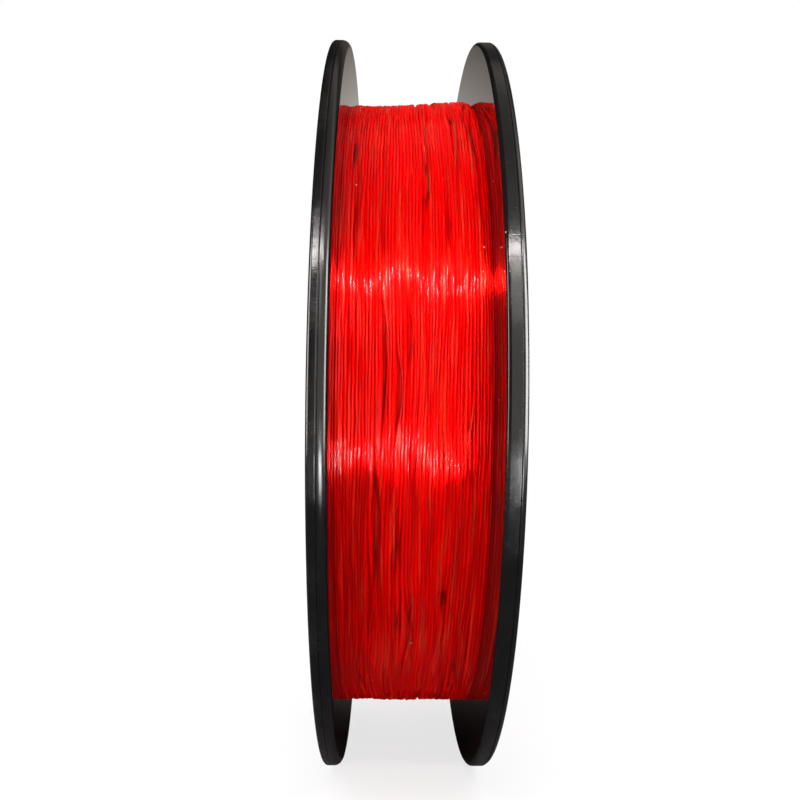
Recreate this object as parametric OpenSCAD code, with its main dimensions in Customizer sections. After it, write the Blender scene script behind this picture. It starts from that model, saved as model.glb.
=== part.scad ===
// Flat fishing line spool, full of line, standing on the edges of its two flanges.
// Millimetres. +X runs along the spool's axis from the left flange to the right one, and +Z is up.
// The origin is the centre of the spindle bore, halfway between the two outer faces.
//
// A drum with a spindle tube carries everything. A flange sits on each end of the drum, and a cover
// closes each flange: its three pins press into the drum's sockets and clamp the flange between them.
// The line lies round the drum between the flanges. Its free end is caught in a slit in the left rim.

/* [Spool] */
// Diameter of both flanges
flange_d = 100; // [80:1:140]
// Width over the outer faces of both covers
spool_w = 20; // [15:0.5:40]
// Radius on the outer edges of the rims
edge_r = 0.25; // [0.1:0.05:0.4]
// Chamfer on each side of the seam between a flange and its cover
seam_chamfer = 0.1; // [0.05:0.01:0.15]

/* [Flanges and covers] */
// Thickness of the left flange at its rim
left_rim_t = 1.12; // [0.95:0.01:2]
// Thickness of the left cover at its rim
left_lip_t = 0.93; // [0.6:0.01:2]
// Thickness of the right flange at its rim
right_rim_t = 1.5; // [0.95:0.01:2.5]
// Thickness of the right cover at its rim
right_lip_t = 0.55; // [0.5:0.01:2]
// Thickness of a flange inside its rim, under the cover
web_t = 0.9; // [0.5:0.05:0.9]
// Width of the rim that stands round the cover's plate
rim_band = 3.2; // [2:0.1:5]
// Depth of the cover's recess for the label
label_recess = 0.2; // [0.15:0.01:0.3]
// Plain border of the cover outside the label
label_border = 5; // [4:0.5:12]
// Width of the raised ring of the cover round the spindle tube
eye_ring = 3; // [2:0.5:6]
// Thickness of the label
label_t = 0.15; // [0.05:0.01:0.15]

/* [Hub] */
// Outside diameter of the drum that the line is wound on
drum_d = 60; // [44:1:78]
// Wall of the drum
drum_wall = 1.6; // [1:0.1:3]
// Diameter of the spindle bore
bore_d = 20; // [12:0.5:26]
// Wall of the spindle tube
tube_wall = 1.6; // [1:0.1:2.5]
// Lead-in chamfer at each end of the spindle bore
bore_chamfer = 0.4; // [0.2:0.1:0.8]
// Number of ribs between the spindle tube and the drum, in threes
rib_count = 6; // [3:3:12]
// Thickness of a rib
rib_t = 1.2; // [0.8:0.1:2]
// Diameter of a socket boss
boss_d = 6; // [5:0.5:6.5]
// Diameter of a cover's press pin
pin_d = 2.4; // [1.6:0.1:3]
// Length of a cover's press pin
pin_len = 5.5; // [3:0.5:8]

/* [Line] */
// Diameter of the line
line_d = 0.35; // [0.2:0.01:0.45]
// How far the full winding stops below the flange's edge
line_below_rim = 7.85; // [5:0.05:15]
// Least gap between two drawn turns of the outer layer
turn_gap = 0.41; // [0.41:0.01:1.5]
// Width of the slit that holds the free end
slit_w = 0.7; // [0.6:0.05:1.2]
// Depth of the slit from the rim's edge
slit_depth = 3.9; // [2:0.1:4.2]
// Direction of the slit, in degrees from the rear towards the top
slit_angle = -35; // [-50:1:-25]
// Width of the tape that holds the first turn on the drum
tape_w = 8; // [4:0.5:10]
// Length of that tape round the drum
tape_len = 18; // [8:1:40]

/* [Hidden] */

// Clearances
seat_clear = 0.1;      // between a part and the hole or recess that it sits in
press_clear = 0.02;    // round a pressed pin, which leaves the solids apart
socket_spare = 0.5;    // of a socket past the end of its pin
rib_drop = 0.5;        // of a rib's end below the end of the drum
label_clear = 0.3;     // round the label inside its recess
winding_clear = 0.1;   // between the winding and each flange
core_clear = 0.2;      // between the drum and the line, where the tape lies
tape_t = 0.08;         // thickness of the tape
tape_lift = 0.05;      // of the tape's back off the drum
start_lift = 0.03;     // of the outer layer's first end off the layers below
cut = 1;               // how far a cutting tool runs past what it cuts

// Flanges and covers
flange_r = flange_d / 2;
left_t = left_rim_t + left_lip_t;
right_t = right_rim_t + right_lip_t;
left_face = left_t - spool_w / 2;    // inner face of the left flange
right_face = spool_w / 2 - right_t;  // inner face of the right flange
channel_w = right_face - left_face;
plate_r = flange_r - rim_band;       // of the recess that the cover's plate fills

// Hub
drum_r = drum_d / 2;
bore_r = bore_d / 2;
tube_r = bore_r + tube_wall;
eye_r = tube_r + seat_clear;         // of the hole round the spindle tube
hollow_r = drum_r - drum_wall;
boss_ring_r = (tube_r + hollow_r) / 2;
left_end = left_face - web_t;        // of a boss, flush with the flange's web
right_end = right_face + web_t;
socket_r = pin_d / 2 + press_clear;
socket_len = pin_len + socket_spare;
fixings = 3;

// Line
wound_r = flange_r - line_below_rim;
line_r = line_d / 2;
turn_r = wound_r - line_r;           // of the middle of the outer layer's turns
start_bend = line_d + 0.05;          // bend radius where the outer layer rises
core_r = turn_r - start_bend - line_d - start_lift;
turns_span = channel_w - 2 * winding_clear - line_d;
turns = min(24, floor(turns_span / (line_d + turn_gap)));
steps = 24;                          // rings in one turn
sides = 6;                           // of the drawn line
bend_steps = 4;
tail_bend = 0.45;                    // bend radius where the free end enters the slit
slit_r = flange_r - slit_depth + slit_w / 2;
slit_turn = acos(turn_r / slit_r);   // from where the free end leaves the winding to the slit

round_fn = 180;
small_fn = 32;
edge_steps = 4;

// Points of an arc, in degrees from the first coordinate towards the second.
function arc(centre, r, from, to, n) =
    [for (i = [0 : n]) let (a = from + (to - from) * i / n) centre + r * [cos(a), sin(a)]];

// Turns a profile of [radius, distance along the axis] about the X axis.
module turned() {
    rotate([0, 90, 0]) rotate_extrude($fn = round_fn) children();
}

// A round bar along X between two places on the axis.
module bar(r, from, to, fn = small_fn) {
    translate([from, 0, 0]) rotate([0, 90, 0]) cylinder(r = r, h = to - from, $fn = fn);
}

// Puts its children round the axis at the fixings, which lie on ribs.
module at_fixings() {
    for (i = [0 : fixings - 1])
        rotate([i * 360 / fixings, 0, 0]) translate([0, 0, boss_ring_r]) children();
}

// Places one side's parts, drawn with their distance outwards from the channel along +X.
module left_side() {
    translate([left_face, 0, 0]) mirror([1, 0, 0]) children();
}

module right_side() {
    translate([right_face, 0, 0]) children();
}

// A radial slit through the left rim, with a round floor.
module slit_cutter() {
    rotate([slit_angle, 0, 0]) {
        translate([-spool_w / 2 - cut, slit_r, -slit_w / 2])
            cube([left_t + 2 * cut, slit_depth + cut, slit_w]);
        translate([0, slit_r, 0])
            bar(slit_w / 2, -spool_w / 2 - cut, left_face + cut);
    }
}

module flange_disc(rim_t) {
    difference() {
        turned() polygon(concat(
            [[eye_r, 0]],
            arc([flange_r - edge_r, edge_r], edge_r, -90, 0, edge_steps),
            [[flange_r, rim_t - seam_chamfer], [flange_r - seam_chamfer, rim_t],
                [plate_r, rim_t], [plate_r, web_t], [eye_r, web_t]]));
        at_fixings() bar(boss_d / 2 + seat_clear, -cut, web_t + cut);
    }
}

module cover_plate(rim_t, total_t) {
    label_out = flange_r - label_border;
    label_in = eye_r + eye_ring;
    recess = total_t - label_recess;
    turned() polygon(concat(
        [[eye_r, web_t], [plate_r - seat_clear, web_t], [plate_r - seat_clear, rim_t],
            [flange_r - seam_chamfer, rim_t], [flange_r, rim_t + seam_chamfer]],
        arc([flange_r - edge_r, total_t - edge_r], edge_r, 0, 90, edge_steps),
        [[label_out, total_t], [label_out, recess], [label_in, recess], [label_in, total_t],
            [eye_r, total_t]]));
    at_fixings() bar(pin_d / 2, web_t - pin_len, web_t + label_recess);
}

module label_ring(total_t) {
    label_out = flange_r - label_border - label_clear;
    label_in = eye_r + eye_ring + label_clear;
    base = total_t - label_recess;
    turned() translate([label_in, base]) square([label_out - label_in, label_t]);
}

module hub_drum() {
    color("#1b1b1c") difference() {
        union() {
            bar(tube_r, -spool_w / 2, spool_w / 2, round_fn);
            difference() {
                bar(drum_r, left_face, right_face, round_fn);
                bar(hollow_r, left_face - cut, right_face + cut, round_fn);
            }
            for (i = [0 : rib_count - 1])
                rotate([i * 360 / rib_count, 0, 0])
                    translate([left_face + rib_drop, -rib_t / 2, tube_r - tube_wall / 2])
                        cube([channel_w - 2 * rib_drop, rib_t, hollow_r - tube_r + tube_wall]);
            at_fixings() bar(boss_d / 2, left_end, right_end);
        }
        turned() polygon([[0, -spool_w / 2 - cut], [bore_r + bore_chamfer, -spool_w / 2 - cut],
            [bore_r + bore_chamfer, -spool_w / 2], [bore_r, bore_chamfer - spool_w / 2],
            [bore_r, spool_w / 2 - bore_chamfer], [bore_r + bore_chamfer, spool_w / 2],
            [bore_r + bore_chamfer, spool_w / 2 + cut], [0, spool_w / 2 + cut]]);
        at_fixings() {
            bar(socket_r, left_end - cut, left_end + socket_len);
            bar(socket_r, right_end - socket_len, right_end + cut);
        }
    }
}

module left_flange() {
    color("#222223") difference() {
        left_side() flange_disc(left_rim_t);
        slit_cutter();
    }
}

module right_flange() {
    color("#222223") right_side() flange_disc(right_rim_t);
}

module left_cover() {
    color("#2a2a2b") difference() {
        left_side() cover_plate(left_rim_t, left_t);
        slit_cutter();
    }
}

module right_cover() {
    color("#2a2a2b") right_side() cover_plate(right_rim_t, right_t);
}

module left_label() {
    color("#e4e0da") left_side() label_ring(left_t);
}

module right_label() {
    color("#e4e0da") right_side() label_ring(right_t);
}

// The tape over the line's first end, stuck round the drum at its lower rear.
module start_tape() {
    tape_angle = tape_len / drum_r * 180 / PI;
    color("#d9d2b8") rotate([tape_angle / 2, 0, 0]) rotate([0, 90, 0])
        rotate_extrude(angle = tape_angle, $fn = round_fn)
            translate([drum_r + tape_lift, -tape_w / 2]) square([tape_t, tape_w]);
}

// All the line under the outer layer, as one ring.
module line_core() {
    color("#b8100c") turned() translate([drum_r + core_clear, left_face + winding_clear])
        square([core_r - drum_r - core_clear, channel_w - 2 * winding_clear]);
}

// ---- The outer layer's route: [x, y, z] points, from the right flange to the slit ----

function around(x, r, a) = [x, r * cos(a), r * sin(a)];

end_angle = slit_angle - slit_turn;
start_angle = end_angle - 360 * turns;
start_x = right_face - winding_clear - line_r;
end_x = left_face + winding_clear + line_r;
out_way = around(0, 1, start_angle);       // straight up from the layers below
along_way = around(0, 1, start_angle + 90);
tail_way = around(0, 1, end_angle + 90);   // the tangent that the free end follows
slit_point = around(end_x, slit_r, slit_angle);

start_foot = around(start_x, core_r + start_lift, start_angle);
start_path = concat(
    [start_foot],
    [for (i = [0 : bend_steps - 1]) let (a = 90 * i / bend_steps)
        start_foot + out_way * (line_d + start_bend * sin(a)) + along_way * start_bend * (1 - cos(a))]);

turn_path = [for (i = [1 : turns * steps])
    around(start_x + (end_x - start_x) * i / (turns * steps), turn_r, start_angle + 360 * i / steps)];

tail_path = concat(
    [for (i = [0 : bend_steps]) let (a = 90 * i / bend_steps)
        slit_point - tail_way * tail_bend * (1 - sin(a)) - [tail_bend * (1 - cos(a)), 0, 0]],
    [[winding_clear - spool_w / 2, slit_point.y, slit_point.z]]);

line_path = concat(start_path, turn_path, tail_path);

// The least distance between two places on the route that are over half a turn apart.
line_gap = min([for (i = [0 : len(line_path) - 1], j = [i + steps / 2 : 1 : len(line_path) - 1])
    norm(line_path[i] - line_path[j])]) - line_d;
echo(str("outer layer: ", turns, " turns, least gap to itself ", line_gap, " mm"));

function unit(v) = v / norm(v);
function heading(path, i) =
    unit(path[min(i + 1, len(path) - 1)] - path[max(i - 1, 0)]);
function square_to(v, t) = unit(v - t * (v * t));

// One ring of points round a place on the route.
function ring(centre, side, across, r) =
    [for (k = [0 : sides - 1]) let (a = 360 * k / sides) centre + r * (cos(a) * side + sin(a) * across)];

// All the rings of a route. Each ring's first side is the last one's, squared to the new heading.
function rings(path, r) = [
    for (i = 0, side = square_to([1, 0, 0], heading(path, 0)); i < len(path);
            i = i + 1, side = square_to(side, heading(path, min(i, len(path) - 1))))
        ring(path[i], side, cross(heading(path, i), side), r)];

module swept_line(path, r) {
    loops = rings(path, r);
    last = (len(path) - 1) * sides;
    walls = [for (i = [0 : len(path) - 2], k = [0 : sides - 1])
        let (a = i * sides + k, b = i * sides + (k + 1) % sides)
            each [[a, a + sides, b], [b, a + sides, b + sides]]];
    caps = [for (k = [1 : sides - 2]) each [[0, k, k + 1], [last, last + k + 1, last + k]]];
    polyhedron(points = [for (loop = loops) each loop], faces = concat(walls, caps), convexity = 10);
}

module line_outer_layer() {
    color("#ee1410") swept_line(line_path, line_r);
}

hub_drum();
left_flange();
right_flange();
left_cover();
right_cover();
left_label();
right_label();
start_tape();
line_core();
line_outer_layer();
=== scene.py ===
# %% [markdown]
# # A fishing line spool, finished in Blender
# The real thing is a flat black plastic spool, full of red monofilament line. Its construction is
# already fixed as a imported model: this script loads it as a frame and gives each visible surface its
# finish. Everything is in metres. +X runs along the spool's axis, from the left flange, the one with
# the line slit, to the right one. -Y is towards the viewer, +Z is up, and the origin is the centre
# of the spindle bore.

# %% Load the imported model
import math

import bmesh
import bpy
import numpy as np
from mathutils import Matrix, Vector, noise


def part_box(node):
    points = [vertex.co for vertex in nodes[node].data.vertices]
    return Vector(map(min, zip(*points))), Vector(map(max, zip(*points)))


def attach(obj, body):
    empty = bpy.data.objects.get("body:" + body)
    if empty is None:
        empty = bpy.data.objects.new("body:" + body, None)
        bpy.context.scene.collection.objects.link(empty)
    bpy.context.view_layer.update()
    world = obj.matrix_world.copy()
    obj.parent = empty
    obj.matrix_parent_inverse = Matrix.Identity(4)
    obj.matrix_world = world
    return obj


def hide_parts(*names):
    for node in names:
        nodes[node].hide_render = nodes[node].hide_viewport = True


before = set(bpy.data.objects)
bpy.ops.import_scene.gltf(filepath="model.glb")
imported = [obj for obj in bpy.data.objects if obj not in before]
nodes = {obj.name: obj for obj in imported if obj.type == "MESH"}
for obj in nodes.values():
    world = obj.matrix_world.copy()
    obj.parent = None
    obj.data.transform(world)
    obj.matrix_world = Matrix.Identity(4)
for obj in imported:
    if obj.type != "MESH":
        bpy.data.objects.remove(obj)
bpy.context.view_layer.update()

MM = 0.001
print("nodes:", ", ".join(sorted(nodes)))

# %% [markdown]
# ## Sizes
# A piece that replaces a part of the frame has to sit exactly where that part sits. So the sizes are
# read from the boxes of the parts, and only what a box can't tell, such as a recess or a rounding,
# is written here.

# %% Read the sizes from the frame
flange_low, flange_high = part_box("left_flange")
rim_r = flange_high.y
left_face, right_face = flange_high.x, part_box("right_flange")[0].x
left_seam, right_seam = flange_low.x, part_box("right_flange")[1].x
left_side, right_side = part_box("left_cover")[0].x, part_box("right_cover")[1].x
core_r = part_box("line_core")[1].z
wound_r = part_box("line_outer_layer")[1].z
label_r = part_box("left_label")[1].z
floor_z = flange_low.z
print(f"rims {rim_r / MM:.2f} mm, faces {left_face / MM:.2f} and {right_face / MM:.2f} mm")
print(f"seams {left_seam / MM:.2f} and {right_seam / MM:.2f} mm")
print(f"core {core_r / MM:.2f} mm, outer turns {wound_r / MM:.2f} mm, label {label_r / MM:.2f} mm")

# %% [markdown]
# ## Camera
# The view is from close in front, a little to the left of the middle and a little below it, looking
# slightly up. That is why the rims lean apart and both inner faces show at the top.

# %% Place the camera
CAMERA_AT = (-2.58 * MM, -120.1 * MM, -5.2 * MM)
CAMERA_YAW = 0.0144  # to the right, in radians
CAMERA_PITCH = 0.0467  # up
CAMERA_ROLL = 0.0106
IMAGE_SIDE = 800
FOCAL_PIXELS = 792.4
SENSOR = 36

camera_data = bpy.data.cameras.new("camera")
camera_data.sensor_width = SENSOR
camera_data.lens = FOCAL_PIXELS * SENSOR / IMAGE_SIDE
camera_data.clip_start = 5 * MM
camera = bpy.data.objects.new("camera", camera_data)
bpy.context.scene.collection.objects.link(camera)
bpy.context.scene.camera = camera

ahead = Vector((math.sin(CAMERA_YAW) * math.cos(CAMERA_PITCH),
                math.cos(CAMERA_YAW) * math.cos(CAMERA_PITCH), math.sin(CAMERA_PITCH)))
level_right = Vector((math.cos(CAMERA_YAW), -math.sin(CAMERA_YAW), 0))
level_up = level_right.cross(ahead)
right = level_right * math.cos(CAMERA_ROLL) + level_up * math.sin(CAMERA_ROLL)
up = level_up * math.cos(CAMERA_ROLL) - level_right * math.sin(CAMERA_ROLL)
camera.matrix_world = Matrix.Translation(CAMERA_AT) @ Matrix((right, up, -ahead)).transposed().to_4x4()
print("lens", round(camera_data.lens, 2), "mm")

# %% [markdown]
# ## Nodes in few words
# A node tree is easier to read when a line says what feeds what. `add` makes a node and fills or links
# its inputs, `material` makes a material with one Principled shader, and the helpers between them are
# the nodes that come up most.

# %% Helpers for node trees
def add(tree, kind, settings=None, **inputs):
    """Adds a node. An input is a value, or another node's output that is linked to it."""
    node = tree.nodes.new(kind)
    for key, value in (settings or {}).items():
        setattr(node, key, value)
    for key, value in inputs.items():
        socket = node.inputs[int(key[1:]) if key[1:].isdigit() else key.replace("_", " ")]
        if isinstance(value, bpy.types.NodeSocket):
            tree.links.new(value, socket)
        else:
            socket.default_value = value
    return node


def mapped(tree, value, low, high, to_low=0.0, to_high=1.0):
    """A value moved smoothly from one range to another."""
    node = add(tree, "ShaderNodeMapRange", {"interpolation_type": "SMOOTHSTEP"},
               Value=value, From_Min=low, From_Max=high, To_Min=to_low, To_Max=to_high)
    return node.outputs["Result"]


def blended(tree, share, first, second):
    """Two colours mixed by a share."""
    node = add(tree, "ShaderNodeMix", {"data_type": "RGBA"}, _0=share, _6=first, _7=second)
    return node.outputs[2]


def maths(tree, operation, *values):
    """One sum."""
    node = add(tree, "ShaderNodeMath", {"operation": operation},
               **{f"_{i}": value for i, value in enumerate(values)})
    return node.outputs[0]


def vector_maths(tree, operation, *values, **inputs):
    """One sum of vectors. Only a length comes out as a number."""
    node = add(tree, "ShaderNodeVectorMath", {"operation": operation},
               **{f"_{i}": value for i, value in enumerate(values)}, **inputs)
    return node.outputs["Value" if operation == "LENGTH" else "Vector"]


def material(name):
    """A material, its node tree and its Principled shader."""
    made = bpy.data.materials.new(name)
    made.use_nodes = True
    return made, made.node_tree, made.node_tree.nodes["Principled BSDF"]

# %% [markdown]
# ## The room
# Glossy black plastic and bright line show their surroundings as much as their own colour, so the
# room is drawn twice. Rough surfaces get weak light from it, and next to none from below. What shows
# in a mirror is a white room up to half way to the zenith and greyer above, dim on the left and dark
# at the back, but for a light patch straight behind the spool, which the inner faces mirror. The
# camera sees plain white.

# %% The room
WHITE_UP_TO = 46  # degrees above the horizon
CEILING_EDGE = 1  # degrees of softness on each side of that height
CEILING = 0.5  # just above the white
DARKER_FROM = 55  # degrees above the horizon, from where the ceiling darkens
ZENITH = 0.2
FRONT_EDGE = (-0.35, 0.05)  # from where to where the front turns into the dark back
SIDE_EDGE = (-0.10, 0.05)  # and the dim left into the bright right
PATCH_EDGE = (0.85, 0.97)  # and the back into the light patch
LOW_SHARE = -0.6  # the back begins sooner low down than high up
DARK_BACK, LIGHT_PATCH = 0.05, 0.75
DIM_LEFT, BRIGHT_RIGHT = 0.15, 1.9
FROM_BELOW, ROOM_LIGHT = 0.05, 0.5  # what the room adds to the lamps
HORIZON_EDGE = (-0.1, 0.25)
WHITE, WARM_WALL, DAYLIGHT = (1, 1, 1, 1), (1, 0.91, 0.83, 1), (1, 0.99, 0.98, 1)


def seen_directly(tree):
    """1 for what the camera sees itself or in a mirror, 0 for light that falls on rough surfaces."""
    path = add(tree, "ShaderNodeLightPath").outputs
    return maths(tree, "MAXIMUM", path["Is Camera Ray"],
                 maths(tree, "MAXIMUM", path["Is Glossy Ray"], path["Is Transmission Ray"]))


world = bpy.data.worlds.new("room")
bpy.context.scene.world = world
world.use_nodes = True
tree = world.node_tree
tree.nodes.clear()
direction = add(tree, "ShaderNodeSeparateXYZ",
                _0=add(tree, "ShaderNodeTexCoord").outputs["Generated"]).outputs
above = mapped(tree, direction["Z"], math.sin(math.radians(WHITE_UP_TO - CEILING_EDGE)),
               math.sin(math.radians(WHITE_UP_TO + CEILING_EDGE)), 1, CEILING)
overhead = mapped(tree, direction["Z"], math.sin(math.radians(DARKER_FROM)), 1, 1, ZENITH / CEILING)
low_back = maths(tree, "MULTIPLY_ADD", direction["Z"], LOW_SHARE, direction["Y"])
in_front = mapped(tree, low_back, *FRONT_EDGE, 1, DARK_BACK)
sideways = mapped(tree, direction["X"], *SIDE_EDGE, DIM_LEFT, BRIGHT_RIGHT)
behind = mapped(tree, direction["Y"], *PATCH_EDGE, 0, LIGHT_PATCH)
walls = maths(tree, "MAXIMUM", maths(tree, "MULTIPLY", in_front, sideways), behind)
room = maths(tree, "MULTIPLY", maths(tree, "MULTIPLY", above, overhead), walls)
camera_ray = add(tree, "ShaderNodeLightPath").outputs["Is Camera Ray"]
shown = add(tree, "ShaderNodeBackground", Color=blended(tree, camera_ray, WARM_WALL, WHITE),
            Strength=maths(tree, "MAXIMUM", camera_ray, room))
falling = mapped(tree, direction["Z"], *HORIZON_EDGE, FROM_BELOW, ROOM_LIGHT)
lighting = add(tree, "ShaderNodeBackground", Color=DAYLIGHT, Strength=falling)
mixed = add(tree, "ShaderNodeMixShader", _0=seen_directly(tree), _1=lighting.outputs[0],
            _2=shown.outputs[0])
add(tree, "ShaderNodeOutputWorld", Surface=mixed.outputs[0])
print("room:", len(tree.nodes), "nodes")

# %% [markdown]
# ## The floor
# The floor is pale and matt. It is whitened where it is seen, so that it keeps the spool's shadow and
# little else, and from a hand's width away it fades into the white of the room.

# %% The floor
FLOOR_SIZE = 6
FLOOR_GREY = 0.72
WHITENED = 0.75
FADE_FROM, FADE_TO = 0.10, 0.35  # from the spool's middle


def matt(name, grey):
    """A grey material without gloss, its node tree and its shader."""
    made, tree, shader = material(name)
    shader.inputs["Base Color"].default_value = (grey, grey, grey, 1)
    shader.inputs["Roughness"].default_value = 0.9
    shader.inputs["Specular IOR Level"].default_value = 0
    return made, tree, shader


bpy.ops.mesh.primitive_plane_add(size=FLOOR_SIZE, location=(0, 0, floor_z))
floor = bpy.context.object
floor.name = "floor"
pale, tree, shader = matt("pale_floor", FLOOR_GREY)
away = vector_maths(tree, "LENGTH", add(tree, "ShaderNodeTexCoord").outputs["Object"])
glow = add(tree, "ShaderNodeEmission", Color=WHITE, Strength=1)
whiter = add(tree, "ShaderNodeMixShader", _0=maths(tree, "MULTIPLY", seen_directly(tree), WHITENED),
             _1=shader.outputs[0], _2=glow.outputs[0])
clear = add(tree, "ShaderNodeBsdfTransparent")
fade = mapped(tree, away, FADE_FROM, FADE_TO)
mixed = add(tree, "ShaderNodeMixShader", _0=fade, _1=whiter.outputs[0], _2=clear.outputs[0])
tree.links.new(mixed.outputs[0], tree.nodes["Material Output"].inputs["Surface"])
floor.data.materials.append(pale)
print(f"floor at {floor_z / MM:.1f} mm")

# %% [markdown]
# ## A dark card
# The lower half of the rims and of the winding would mirror the pale floor. A dark card on the floor
# keeps them dark there. It shows in mirrors only, and throws no shadow.

# %% The dark card
CARD_FROM, CARD_TO = -0.128, 0.05  # across the floor in front of the spool and under it
CARD_WIDTH = 0.5
CARD_LIFT = 0.3 * MM
CARD_GREY = 0.06
bpy.ops.mesh.primitive_plane_add(size=1, location=(0, (CARD_FROM + CARD_TO) / 2, floor_z + CARD_LIFT))
card = bpy.context.object
card.name = "dark_card"
card.scale = (CARD_WIDTH, CARD_TO - CARD_FROM, 1)
card.visible_camera = card.visible_diffuse = card.visible_shadow = False
card.data.materials.append(matt("dark_card", CARD_GREY)[0])
print(f"card {CARD_WIDTH} x {CARD_TO - CARD_FROM:.3f} m")

# %% [markdown]
# ## The lamps
# A long soft key lamp high in front gives the upper highlight, and two small ones brighten it where
# it crosses the rims. A window beside it gives the paler patch below, and a small lamp that faces up
# from the floor gives the low highlight of the right rim. All these and the side lamps show in
# mirrors, most of them only there. The fills don't show: they only light the line and the plastic.

# %% The lamps
LAMP_AWAY = 0.45  # from the front of the winding
KEY_HIGH = 42  # degrees
KEY_ENDS = (("key_end_right", 11, 36, 12), ("key_end_left", -10, 38, 34))  # aside, high, radiance
SIDE_LAMPS = (("side_lamp_right", 76, 24), ("side_lamp_left", -76, 14))  # aside, radiance
FILLS = (("key_fill", 0, KEY_HIGH, 0.45, 0.4, 0.05, 19),  # aside, high, away, width, height, radiance
         ("fill_lamp", -48, 35, 0.42, 0.2, 0.3, 6),
         ("low_fill_left", -42, -10, 0.25, 0.1, 0.04, 18),
         ("low_fill_right", 30, -10, 0.25, 0.1, 0.04, 14),
         ("back_fill", 172, 35, 0.5, 0.3, 0.2, 9))


def soft_lamp(name, place, aim, width, height, radiance):
    """A soft box that points at a place. Its radiance is what shows in a mirror."""
    light = bpy.data.lights.new(name, "AREA")
    light.shape = "RECTANGLE"
    light.size, light.size_y = width, height
    light.energy = radiance * math.pi * width * height
    lamp = bpy.data.objects.new(name, light)
    bpy.context.scene.collection.objects.link(lamp)
    lamp.location = place
    lamp.rotation_euler = (Vector(aim) - Vector(place)).to_track_quat("-Z", "Y").to_euler()
    lamp.visible_camera = False
    print(f"{name}: {light.energy:.2f} W, {width:.2f} x {height:.2f} m")
    return lamp


front = Vector((0, -wound_r, 5 * MM))


def seen_from_front(aside, high, away):
    """A place by its direction from the front of the winding: degrees to the right and up."""
    aside, high = math.radians(aside), math.radians(high)
    return front + away * Vector((math.sin(aside) * math.cos(high), -math.cos(aside) * math.cos(high),
                                  math.sin(high)))


key_lamp = soft_lamp("key_lamp", seen_from_front(0, KEY_HIGH, LAMP_AWAY), front, 0.40, 0.030, 50)
key_lamp.data.color = (1, 0.93, 0.95)
soft_lamp("window_lamp", seen_from_front(13, 27, LAMP_AWAY), front, 0.12, 0.10, 3.5)
for name, aside, high, radiance in KEY_ENDS:
    key_end = soft_lamp(name, seen_from_front(aside, high, LAMP_AWAY), front, 0.05, 0.04, radiance)
    key_end.visible_diffuse = False
    key_end.data.color = (1, 0.95, 0.86)
low_place = Vector((0.056, -0.148, floor_z + 1 * MM))
low_lamp = soft_lamp("low_lamp", low_place, low_place + Vector((0, 0, 1)), 0.044, 0.054, 60)
low_lamp.visible_diffuse = False
for name, aside, high, away, width, height, radiance in FILLS:
    fill = soft_lamp(name, seen_from_front(aside, high, away), front, width, height, radiance)
    fill.visible_glossy = False
for name, aside, radiance in SIDE_LAMPS:
    side_lamp = soft_lamp(name, seen_from_front(aside, 0, LAMP_AWAY), front, 0.13, 0.56, radiance)
    side_lamp.visible_diffuse = False
bpy.context.scene.view_settings.view_transform = "Standard"

# %% [markdown]
# ## The winding
# The line is laid in turns that run to and fro between the flanges. Each turn drops into the grooves
# of those below it, rides over its neighbours where they wander together, and leaves gaps where they
# part. That is what gives a real spool its long lenses, crossings and seams, so the turns are laid
# one after another in the same way: first where each turn runs across the drum, then how high it
# comes to lie.

# %% Lay the turns across the drum
LINE_D = 0.35 * MM
LINE_R = LINE_D / 2
LAYERS = 3  # drawn over the core, the last one running from right to left
TURNS = 48  # in one layer
STEPS = 320  # places along one turn
INSET = 0.8  # in turns: the end turns of a layer lie along the flanges
SWAY = 0.26 * MM  # how far whole groups of turns wander together
STRAY = 0.12 * MM  # how far each turn wanders on its own
WOBBLE = 0.055 * MM  # its small kinks
CALM_ZONE = 1.5 * MM  # beside each flange, where turns can hardly wander
TIGHT, LOOSER, LOOSEST_AT = 0.6, 1.0, math.radians(235)  # it is laid looser low in front
SLIT_ANGLE = math.radians(-35)
SLIT_R = rim_r - 3.55 * MM
LEAVING = SLIT_ANGLE - math.acos((wound_r - LINE_R) / SLIT_R)  # where the free end leaves the turns

turn_count = LAYERS * TURNS
along = np.arange(turn_count * STEPS + 1) / STEPS  # in turns, from the first end
angle = LEAVING + 2 * np.pi * along  # from the rear towards the top
left_limit = left_face + 0.5 * LINE_R  # the end turns are pressed flat against the flanges
right_limit = right_face - 0.5 * LINE_R


def wander(scale, spread, seed, depth):
    """Smooth noise round the drum, about -1 to 1. Turns that are close in depth wander alike."""
    return np.array([noise.noise((scale * math.cos(a), scale * math.sin(a) + seed, spread * d))
                     for a, d in zip(angle, depth)]) * 1.6


layer = np.minimum(along // TURNS, LAYERS - 1)
travel = along / TURNS - layer
across = np.where(layer % 2 == 0, 1 - travel, travel)
pitch = (right_limit - left_limit) / (TURNS - 2 * INSET)
steady = np.clip(left_limit + (across * TURNS - INSET) * pitch, left_limit, right_limit)
loose = TIGHT + LOOSER * np.clip(np.cos(angle - LOOSEST_AT), 0, 1) ** 2
sway = wander(2.4, 1 / (5 * MM), 11, steady) * SWAY
stray = wander(3.4, 0.6, 47, along) * STRAY
wobble = wander(16, 0.9, 33, along) * WOBBLE
calm = np.clip(np.minimum(steady - left_limit, right_limit - steady) / CALM_ZONE, 0, 1)
lane = steady + calm * loose * (sway + stray)
print(turn_count, "turns,", len(along), "places")

# %% [markdown]
# ## Neighbours
# Two strands can't be in one place. Where the wandering brings neighbours too close, both give way by
# half, and after a few rounds of this they lie side by side.

# %% Push neighbours apart
PUSHES = 14
CLOSEST = 0.8  # of the line's thickness, since a strand can also ride up on the next


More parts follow.
